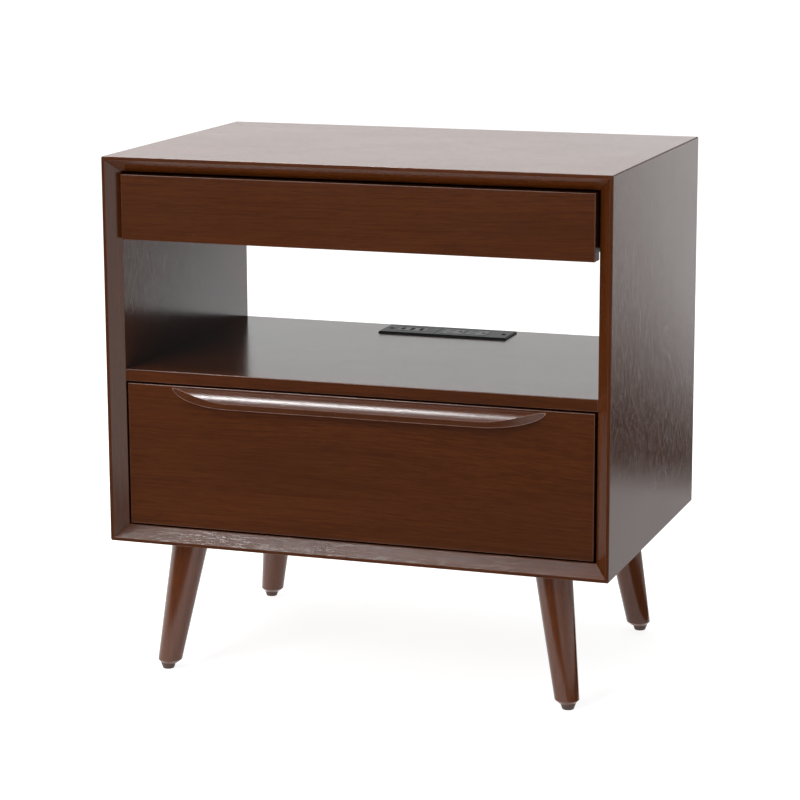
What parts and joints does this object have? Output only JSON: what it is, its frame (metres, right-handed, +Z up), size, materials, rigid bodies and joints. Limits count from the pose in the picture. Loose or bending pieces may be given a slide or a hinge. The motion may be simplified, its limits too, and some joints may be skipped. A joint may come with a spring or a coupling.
{
  "type": "nightstand with drawers",
  "caption": "Bedside nightstand with a bevelled wooden case on splayed legs, a shallow and a deep drawer on telescopic slides, and an open shelf with a power outlet.",
  "frame": {"origin": "on the floor, in the middle of the whole outline in plan, the drawer pull included", "axes": "+X to the right seen from the front, +Y from the drawer fronts to the back, +Z up"},
  "size_m": [0.6, 0.4034, 0.61],
  "materials": {
    "case_wood": "dark reddish brown stain under a semi-gloss clear lacquer, fine straight grain",
    "front_wood": "the same stain and lacquer, grain running across the drawer",
    "leg_wood": "the same stain on solid turned wood, semi-gloss",
    "box_wood": "black-stained boards, satin",
    "beech": "plain unfinished hardwood",
    "slide_steel": "black electrocoated rolled steel",
    "plate_steel": "black powder-coated pressed steel",
    "screw_steel": "bright zinc-plated steel",
    "dark_screw": "blackened steel",
    "glide_plastic": "brown moulded nylon",
    "outlet_plastic": "fine-textured dark grey moulded plastic",
    "module_plastic": "smooth black moulded plastic"
  },
  "bodies": {
    "case": {"top_panel": "case_wood", "bottom_panel": "case_wood", "left_side_panel": "case_wood", "right_side_panel": "case_wood", "mitre_splines": "beech", "shelf": "case_wood", "case_dowels": "beech", "lower_back_panel": "case_wood", "upper_back_rail": "case_wood", "leg_front_left": "leg_wood", "leg_front_right": "leg_wood", "leg_back_left": "leg_wood", "leg_back_right": "leg_wood", "foot_glide_front_left": "glide_plastic", "foot_glide_front_right": "glide_plastic", "foot_glide_back_left": "glide_plastic", "foot_glide_back_right": "glide_plastic", "leg_plates": "plate_steel", "leg_bolts": "screw_steel", "leg_plate_screws": "screw_steel", "outlet_face_plate": "outlet_plastic", "outlet_housing": "outlet_plastic", "outlet_charging_ports": "module_plastic", "outlet_receptacle_left": "module_plastic", "outlet_receptacle_right": "module_plastic", "outlet_power_inlet": "module_plastic", "outlet_screws": "dark_screw", "slide_case_screws": "screw_steel", "top_slide_outer_left": "slide_steel", "top_slide_outer_right": "slide_steel", "lower_slide_outer_left": "slide_steel", "lower_slide_outer_right": "slide_steel"},
    "top_slide_middle": {"top_slide_middle_left": "slide_steel", "top_slide_middle_right": "slide_steel"},
    "top_drawer": {"top_drawer_front": "front_wood", "top_drawer_inner_front": "box_wood", "top_drawer_left_side": "box_wood", "top_drawer_right_side": "box_wood", "top_drawer_back": "box_wood", "top_drawer_bottom": "box_wood", "top_drawer_dowels": "beech", "top_drawer_front_screws": "screw_steel", "top_drawer_slide_screws": "screw_steel", "top_slide_inner_left": "slide_steel", "top_slide_inner_right": "slide_steel"},
    "lower_slide_middle": {"lower_slide_middle_left": "slide_steel", "lower_slide_middle_right": "slide_steel"},
    "lower_drawer": {"lower_drawer_front": "front_wood", "lower_drawer_inner_front": "box_wood", "lower_drawer_left_side": "box_wood", "lower_drawer_right_side": "box_wood", "lower_drawer_back": "box_wood", "lower_drawer_bottom": "box_wood", "lower_drawer_dowels": "beech", "lower_drawer_front_screws": "screw_steel", "lower_drawer_slide_screws": "screw_steel", "lower_slide_inner_left": "slide_steel", "lower_slide_inner_right": "slide_steel", "drawer_pull": "front_wood", "drawer_pull_screws": "screw_steel"}
  },
  "joints": [
    {"name": "top_drawer_slide", "type": "slide", "parent": "case", "child": "top_drawer", "axis": [0, -1, 0], "range_m": [0, 0.3]},
    {"name": "top_middle_slide", "type": "slide", "parent": "case", "child": "top_slide_middle", "axis": [0, -1, 0], "range_m": [0, 0.15]},
    {"name": "lower_drawer_slide", "type": "slide", "parent": "case", "child": "lower_drawer", "axis": [0, -1, 0], "range_m": [0, 0.3]},
    {"name": "lower_middle_slide", "type": "slide", "parent": "case", "child": "lower_slide_middle", "axis": [0, -1, 0], "range_m": [0, 0.15]}
  ],
  "couplings": [
    {"joint": "top_middle_slide", "follows": "top_drawer_slide", "ratio": 0.5},
    {"joint": "lower_middle_slide", "follows": "lower_drawer_slide", "ratio": 0.5}
  ]
}
